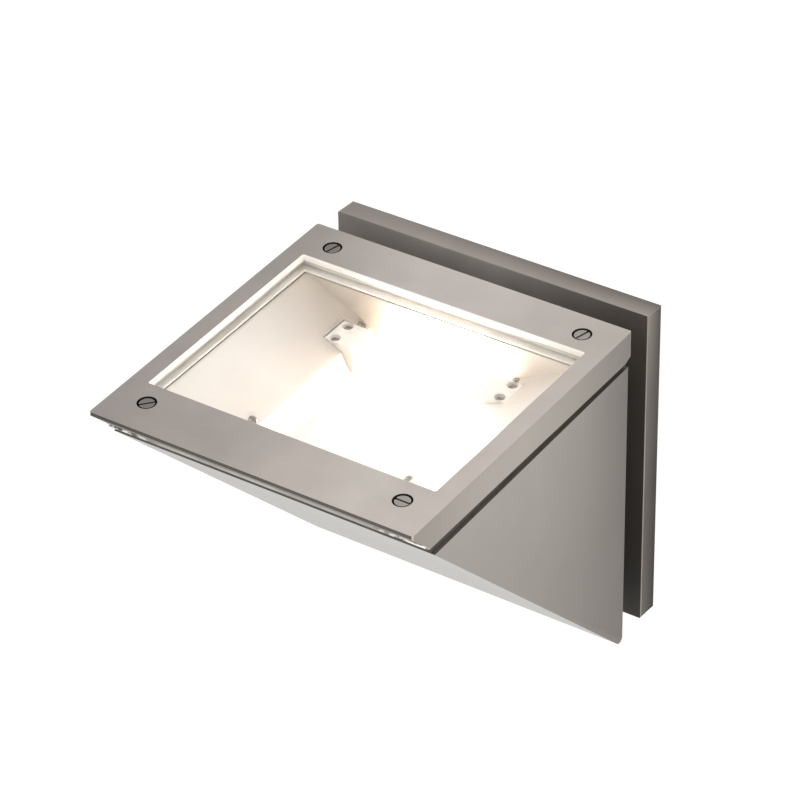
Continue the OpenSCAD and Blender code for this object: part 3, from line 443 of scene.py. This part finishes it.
def earth_stripes():
    look = Look("earth_sleeve", "7c9a2e", SLEEVE_ROUGH)
    wave = look.add("ShaderNodeTexWave", wave_type="BANDS", bands_direction="DIAGONAL")
    wave.inputs["Scale"].default_value = STRIPE_SCALE
    look.link(look.place, wave.inputs["Vector"])
    stops = [(at, colour(tone)) for at, tone in STRIPE_TONES]
    look.vary("Base Color", look.ramp(wave.outputs["Fac"], stops))
    look.bump(look.noise(SLEEVE_CELLS), SLEEVE_DEPTH, SLEEVE_STRENGTH)


# Where the drifts of painted light and shade start and end, in metres along an axis
PLATE_LOW, PLATE_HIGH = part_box("wall_plate")
RIM_FRONT_TO_WALL = ("Y", PLATE_LOW.y, PLATE_HIGH.y)
RIM_BOTTOM_TO_TOP = ("Z", PLATE_LOW.z, PLATE_HIGH.z)
PLATE_TOP_TO_HEEL = ("Z", 0.085, -0.07)
LID_BACK_TO_FRONT = ("Y", -0.035, -0.225)
SIDE_FRONT_TO_BACK = ("Y", -0.2, -0.035)
SIDE_TOP_TO_HEEL = ("Z", 0.07, -0.09)
BOWL_BACK_TO_FRONT = ("Y", -0.07, -0.13)

# Roughness of the duller steels, at their smoothest and at their roughest spots
DULL = (0.5, 0.6)
DULL_PLATE = (0.5, 0.62)
DULL_FRONT = (0.55, 0.65)

# The looks, each with its tones; the rows of tones are painted light and shade, and the steels of the
# lid, housing and plate are lit and shaded copies of one steel
# Painted light on the lid's top: darker at the left, paler towards the right
satin_steel("lid_steel", [
    ["a09993", "b3aca6", "c9c1bb", "c8c0bb", "bfb8b2", "bdb6af"],
    ["a09995", "a69e99", "aca49f", "bcb4ad", "c6bfb8", "cbc2bb"],
], down=LID_BACK_TO_FRONT)
# The lid's sides: a shaded copy of the lid's steel, with painted shade darker at the back
satin_steel("lid_side_steel", [
    ["8a8480", "a19a94", "b0a9a3", "aea7a0", "9f9892"],
], across=LID_BACK_TO_FRONT, clouds=0.03)
# Painted shade: the dark front lip of the lid, and the seam under the housing's front fold
satin_steel("painted_shade_steel", [["5c5853", "6a6560"]], rough=DULL, edge="6f6a64")
# Painted shade on the lid's bevel below the lip
satin_steel("bevel_painted_shade", [["77736d", "827d77"]], rough=DULL, edge="8d8781")
painted_glint_band()
# Painted light: the inner walls of the lid's window and the glass frame are painted pale as if lit by the
# lamp
plain_metal("painted_lamplight_edge", "f3efe9", "fbf8f4", (0.3, 0.42), edge="fffdfa", metal=0.1)
# Painted shade on the housing's sides: darker towards the back and towards the heel
satin_steel("side_steel", [
    ["a8a39e", "a7a29d", "a5a09b", "97928d", "7a7571"],
    ["8c8782", "928d88", "928d88", "8d8883", "847f7a"],
], across=SIDE_FRONT_TO_BACK, down=SIDE_TOP_TO_HEEL, clouds=0.035)
# Painted reflection: the housing's underside is painted paler than its sides
satin_steel("under_steel", [["b4b3b1", "b9b8b6"]], clouds=0.03, edge="c4c2bf")
# Painted shade on the plate's rim: paler at the front, darker towards the wall
satin_steel("plate_steel", [
    ["978f89", "a09993", "a7a09a", "a19a93", "a29b95"],
    ["8f8882", "89827c", "837c76", "6f6862", "6e6761"],
], down=RIM_FRONT_TO_WALL, rough=DULL_PLATE, edge="8f8983")
# Painted shade on the plate's ends: dark towards the wall
satin_steel("plate_side", [
    ["766f69", "6c6560", "6b6560", "79726c", "978f89"],
    ["2f2b28", "3a3532", "3b3733", "4c4743", "45403c"],
], across=RIM_BOTTOM_TO_TOP, down=RIM_FRONT_TO_WALL, rough=DULL_PLATE, edge="7d7771")
# Painted shade on the plate's front in the gap behind the housing: darker to the right and downwards
satin_steel("plate_front", [
    ["77716b", "99938d", "a49e98", "7c7670", "48423c"],
    ["5a5550", "322e2a"],
], down=PLATE_TOP_TO_HEEL, rough=DULL_FRONT, metal=0.2, edge="8f8983")
plain_metal("inner_steel", "a09f9a", "b9b8b2")
# Painted shade on the screw heads: the left ones darker than the right ones
satin_steel("head_steel", [
    ["78726d", "8a847f", "9d9791", "a8a29b"],
], rough=(0.34, 0.46))
# Painted shadow in the recesses round the screw heads
satin_steel("recess_painted_shadow", [["5a5550", "625d58", "6c6762"]], edge="6c6762")
plain_metal("screw_steel", "8f8a83", "a8a29a", rough=(0.22, 0.34))
# Painted light and shade on the bowl: darker at the back, paler towards the front
bowl_sheet("bright_aluminium", [
    ["d8d0c6", "b9b0a6", "cfc7be", "d6cec5", "e4dcd4"],
    ["f2ede8", "e6ded6", "fbf8f4", "fbf8f4", "f0ebe6"],
], LEFT_TO_RIGHT, BOWL_BACK_TO_FRONT)
plain_metal("neck_metal", "4a4743", "5a5752", rough=(0.4, 0.5), edge="6a6660")
soft_solid("seal", "3a3530", "4c463f", rough=0.55)
soft_solid("pale_seal", "c9bfb4", "d8cfc5", rough=0.5)
clear("clear_glass", "fefefd", "fbfaf8")
soft_solid("ground_glass", "eef1ee", "f8faf8", rough=0.45, grain=900, depth=0.00003)
soft_solid("ceramic", "f8f3eb", "fdfaf5", rough=0.5, grain=900, depth=0.00004, cells=90)
soft_solid("cream_coat", "e2d8cb", "efe7dc", rough=0.5, grain=600, depth=0.00005)
plain_metal("contact_brass", "b8954e", "d0b06a", rough=(0.2, 0.3))
plain_metal("plated_brass", "b3b0a8", "c6c3bc", rough=(0.18, 0.28))
glowing("tungsten", "ffe2b8", GLOW_STRENGTH * 2)
glowing("quartz", GLOW_WARM, GLOW_STRENGTH)
soft_solid("lead_sleeve", "e2dcd0", "efeae0", rough=0.7, grain=1200, depth=0.0001)
earth_stripes()

# Nodes and slots whose look has another name than their slot
SLOT_LOOKS = {"satin_steel": "side_steel"}
NODE_LOOKS = {
    "lid_frame": "lid_steel",
    "wall_plate": "plate_steel",
    # The glass frame is painted pale as if lit by the lamp
    "glass_frame": "painted_lamplight_edge",
    "glass_gasket": "pale_seal",
    "lid_screws": "head_steel",
    "holder_brackets": "cream_coat",
}
SLOTS = {s["node"]: s["material_slot"] for s in frame["record"]["subparts"]}


def look_of(node):
    """The look of a whole node: its own, or else its slot's"""
    slot = SLOTS[node]
    return LOOKS[NODE_LOOKS.get(node, SLOT_LOOKS.get(slot, slot))]


# Faces that have a tone of their own, told by where they look and lie: painted light and shade on the
# steel of the lid, housing and plate, and the ground edges of the glass
STEEP = 0.9
LEVEL = 0.8
SLANT = 0.4
FOOT_DEPTH = 4 * MM
WINDOW_HALF = 91 * MM
LID_LOW, LID_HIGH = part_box("lid_frame")
LID_MIDDLE = (LID_LOW + LID_HIGH) / 2
SCREWS_LOW, SCREWS_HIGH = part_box("lid_screws")
SCREW_HEAD = 4.25 * MM
RECESS = 5.7 * MM


def in_recess(place):
    """Whether a place on the lid lies in the recess round a screw's head"""
    across = min(abs(place.x - SCREWS_LOW.x - SCREW_HEAD), abs(place.x - SCREWS_HIGH.x + SCREW_HEAD))
    along = min(abs(place.y - SCREWS_LOW.y - SCREW_HEAD), abs(place.y - SCREWS_HIGH.y + SCREW_HEAD))
    return math.hypot(across, along) < RECESS


def lid_painted_light(normal, place):
    inward = -(normal.x * (place.x - LID_MIDDLE.x) + normal.y * (place.y - LID_MIDDLE.y))
    # Painted shade on the front lip and the bevel, a painted highlight with glints on the band at the
    # lip's foot, painted shadow in the screw recesses, and painted lamplight on the window's inner walls
    if normal.y < -STEEP and place.y < LID_LOW.y + FOOT_DEPTH:
        return "painted_shade_steel"
    if normal.y < -STEEP and place.z < LID_LOW.z + FOOT_DEPTH:
        return "painted_glint_band"
    if normal.z < -SLANT and normal.y < -SLANT:
        return "bevel_painted_shade"
    if in_recess(place):
        return "recess_painted_shadow"
    if inward > 0 and -SLANT < normal.z < LEVEL and abs(place.x) < WINDOW_HALF:
        return "painted_lamplight_edge"
    if abs(normal.x) > STEEP:
        return "lid_side_steel"
    return "lid_steel"


HOUSING_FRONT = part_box("housing_wrap")[0].y
# Depth of the painted shadow along the seam under the housing's front fold
SEAM_SHADOW_DEPTH = 0.9 * MM


# The housing gets painted shadow along its front seam, and its underside is painted paler than its sides
# as a painted reflection of the floor
def housing_painted_light(normal, place):
    if place.y < HOUSING_FRONT + SEAM_SHADOW_DEPTH:
        return "painted_shade_steel"
    return "under_steel" if normal.z < -SLANT else "side_steel"


def plate_painted_light(normal, place):
    if normal.y < -STEEP:
        return "plate_front"
    return "plate_side" if abs(normal.x) > STEEP else "plate_steel"


def glass_finish(normal, place):
    return "clear_glass" if abs(normal.z) > STEEP else "ground_glass"


FINISHES_AND_PAINTED_LIGHT = {
    "lid_frame": lid_painted_light,
    "housing_wrap": housing_painted_light,
    "glass_pane": glass_finish,
    "wall_plate": plate_painted_light,
}

# Dressed copies of the CAD nodes: flat faces joined, sharp edges rounded, rounded edges marked for wear
# and a painted highlight
JOIN_GAP = 0.000002
FLAT_ANGLE = math.radians(0.3)
SHARP_ANGLE = math.radians(28)
SMOOTH_ANGLE = math.radians(32)
EDGE_STEPS = 2
ROUND_PROFILE = 0.5

# Outer corners of the lid, which are rounded more than its other edges
CORNER_ROUND = 1.4 * MM
CORNER_STEPS = 4


def sharp_edges(bm):
    return [e for e in bm.edges if e.is_manifold and e.calc_face_angle(0) > SHARP_ANGLE]


def round_edges(bm, edges, radius, steps):
    return bmesh.ops.bevel(bm, geom=edges, offset=radius, offset_type="OFFSET", segments=steps,
                           profile=ROUND_PROFILE, affect="EDGES", clamp_overlap=True)


def lid_corners(bm):
    corners = []
    for edge in bm.edges:
        a, b = (v.co for v in edge.verts)
        upright = abs((a - b).normalized().z) > STEEP
        outside = abs(abs(a.x) - LID_HIGH.x) < JOIN_GAP and abs(abs(b.x) - LID_HIGH.x) < JOIN_GAP
        if upright and outside:
            corners.append(edge)
    return corners


def new_piece(name, mesh):
    piece = bpy.data.objects.new(name, mesh)
    bpy.context.scene.collection.objects.link(piece)
    return piece


def joined_mesh(nodes):
    """One closed mesh of several CAD nodes that touch face to face"""
    first = new_piece("join", NODES[nodes[0]].data.copy())
    others = [new_piece("join_part", NODES[n].data) for n in nodes[1:]]
    for other in others:
        union = first.modifiers.new("union", "BOOLEAN")
        union.operation = "UNION"
        union.solver = "EXACT"
        union.object = other
    bpy.context.view_layer.update()
    shape = first.evaluated_get(bpy.context.evaluated_depsgraph_get())
    mesh = bpy.data.meshes.new_from_object(shape)
    for thing in (first, *others):
        bpy.data.objects.remove(thing)
    return mesh


def paint_faces(bm, finish_and_light):
    """Gives each face its finish and painted light and shade, and returns these looks in the order of
    their material slots
    """
    names = []
    for face in bm.faces:
        name = finish_and_light(face.normal, face.calc_center_median())
        if name not in names:
            names.append(name)
        face.material_index = names.index(name)
    return names


def dress(nodes, radius):
    """Replaces CAD nodes by one copy with rounded edges, its own finishes and its painted light and shade
    """
    node = nodes[0]
    source = NODES[node].data if len(nodes) == 1 else joined_mesh(nodes)
    bm = bmesh.new()
    bm.from_mesh(source)
    bmesh.ops.remove_doubles(bm, verts=bm.verts, dist=JOIN_GAP)
    bmesh.ops.dissolve_limit(bm, angle_limit=FLAT_ANGLE, verts=bm.verts, edges=bm.edges,
                             use_dissolve_boundaries=False)
    if node == "lid_frame":
        round_edges(bm, lid_corners(bm), CORNER_ROUND, CORNER_STEPS)
    wear_and_sheen = bm.faces.layers.float.new("wear_and_sheen")
    rounded = round_edges(bm, sharp_edges(bm), radius, EDGE_STEPS)["faces"]
    bm.normal_update()
    for face in bm.faces:
        face.smooth = True
        face.material_index = 0
    looks = [look_of(node)]
    if node in FINISHES_AND_PAINTED_LIGHT:
        looks = [LOOKS[name] for name in paint_faces(bm, FINISHES_AND_PAINTED_LIGHT[node])]
    for face in rounded:
        face[wear_and_sheen] = 1.0
    mesh = bpy.data.meshes.new(node + "_skin")
    bm.to_mesh(mesh)
    bm.free()
    mesh.set_sharp_from_angle(angle=SMOOTH_ANGLE)
    for look in looks:
        mesh.materials.append(look)
    piece = new_piece(node + "_skin", mesh)
    normals = piece.modifiers.new("face normals", "WEIGHTED_NORMAL")
    normals.keep_sharp = True
    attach(piece, node_body(node))
    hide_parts(*nodes)


# Edge radius of each dressed copy; the four housing nodes are welded and become one copy
HOUSING = ("housing_wrap", "housing_rim", "housing_side_left", "housing_side_right")
DRESSED = {
    HOUSING: 0.6 * MM,
    ("lid_frame",): 0.5 * MM,
    ("wall_plate",): 0.2 * MM,
    ("lid_screws",): 0.25 * MM,
    ("reflector",): 0.15 * MM,
    ("neck_frame",): 0.3 * MM,
    ("glass_frame",): 0.2 * MM,
    ("wall_bracket",): 0.4 * MM,
    ("chassis_plate",): 0.3 * MM,
    ("holder_brackets",): 0.2 * MM,
    ("glass_pane",): 0.3 * MM,
}
for group, group_radius in DRESSED.items():
    dress(group, group_radius)
REPLACED = {part for group in DRESSED for part in group}


# Contact springs, which get shorter as the plungers slide out against them; each gets a copy of its own
# mesh and its look
def pressed_spring(entry):
    node = entry["node"]
    piece = new_piece(node + "_skin", NODES[node].data.copy())
    piece.data.materials.clear()
    piece.data.materials.append(look_of(node))
    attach(piece, node_body(node))
    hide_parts(node)
    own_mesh(piece)
    REPLACED.add(node)


for slide in frame["record"]["behaviour"]["joints"]:
    for pressed in slide.get("deforming_nodes", []):
        pressed_spring(pressed)

# All other nodes keep their CAD shape and get their look
for part, thing in NODES.items():
    if part not in REPLACED:
        thing.data.materials.clear()
        thing.data.materials.append(look_of(part))

# Plain pale floor, well below the wall light
FLOOR_Z = -0.6
FLOOR_HALF = 12.0
FLOOR_ROUGH = 0.9
FLOOR_GLOW = 0.08


def make_floor():
    bm = bmesh.new()
    bmesh.ops.create_grid(bm, x_segments=1, y_segments=1, size=FLOOR_HALF)
    mesh = bpy.data.meshes.new("floor")
    bm.to_mesh(mesh)
    bm.free()
    floor = new_piece("floor", mesh)
    floor.location = (0, 0, FLOOR_Z)
    look = Look("floor", "fbfbfa", FLOOR_ROUGH)
    look.set("Specular IOR Level", 0.0)
    look.set("Emission Color", WHITE)
    look.set("Emission Strength", FLOOR_GLOW)
    mesh.materials.append(look.mat)


make_floor()

# The world is white where it is seen, also in metal and through glass
# The light that it gives is strongest from the top and a little weaker from the sides and from below
SIDE_AT = 0.5
SIDE_LIGHT = (0.82, 0.82, 0.83, 1)
TOP_AT = 0.95
TOP_LIGHT = (1.0, 0.99, 0.97, 1)
DOWN = -1.0
UP = 1.0


def make_world():
    world = bpy.data.worlds.new("studio")
    bpy.context.scene.world = world
    world.use_nodes = True
    tree = world.node_tree
    links = tree.links
    back = tree.nodes["Background"]
    place = tree.nodes.new("ShaderNodeTexCoord")
    split = tree.nodes.new("ShaderNodeSeparateXYZ")
    ramp = tree.nodes.new("ShaderNodeValToRGB")
    spread = tree.nodes.new("ShaderNodeMapRange")
    path = tree.nodes.new("ShaderNodeLightPath")
    mix = tree.nodes.new("ShaderNodeMix")
    mix.data_type = "RGBA"
    spread.inputs["From Min"].default_value = DOWN
    spread.inputs["From Max"].default_value = UP
    side, top = ramp.color_ramp.elements
    side.position = SIDE_AT
    side.color = SIDE_LIGHT
    top.position = TOP_AT
    top.color = TOP_LIGHT
    links.new(place.outputs["Generated"], split.inputs["Vector"])
    links.new(split.outputs["Z"], spread.inputs["Value"])
    links.new(spread.outputs["Result"], ramp.inputs["Fac"])
    shown = path.outputs["Is Camera Ray"]
    for kind in ("Is Glossy Ray", "Is Transmission Ray"):
        either = tree.nodes.new("ShaderNodeMath")
        either.operation = "MAXIMUM"
        links.new(shown, either.inputs[0])
        links.new(path.outputs[kind], either.inputs[1])
        shown = either.outputs["Value"]
    factor, light, seen = [i for i in mix.inputs if i.enabled]
    links.new(shown, factor)
    links.new(ramp.outputs["Color"], light)
    seen.default_value = WHITE
    links.new([o for o in mix.outputs if o.enabled][0], back.inputs["Color"])
    back.inputs["Strength"].default_value = 1.0


make_world()

# Soft studio lamps: a wide one above the camera and a weak one on the right, in metres and watts
LAMP_TARGET = (0, -0.1, 0)
LAMPS = {
    "key": {"place": (0.5, -1.4, 2.6), "size": 2.0, "power": 12.0, "tint": (1.0, 0.97, 0.93)},
    "fill": {"place": (2.0, 0.6, 0.6), "size": 1.6, "power": 2.0, "tint": (0.97, 0.98, 1.0)},
}


def area_lamp(name, place, size, power, tint):
    data = bpy.data.lights.new(name, "AREA")
    data.shape = "DISK"
    data.size = size
    data.energy = power
    data.color = tint
    lamp = bpy.data.objects.new(name, data)
    lamp.location = place
    aim = Vector(LAMP_TARGET) - Vector(place)
    lamp.rotation_euler = aim.to_track_quat("-Z", "Y").to_euler()
    bpy.context.scene.collection.objects.link(lamp)


for lamp_name, settings in LAMPS.items():
    area_lamp(lamp_name, **settings)

bpy.context.scene.view_settings.view_transform = "Standard"
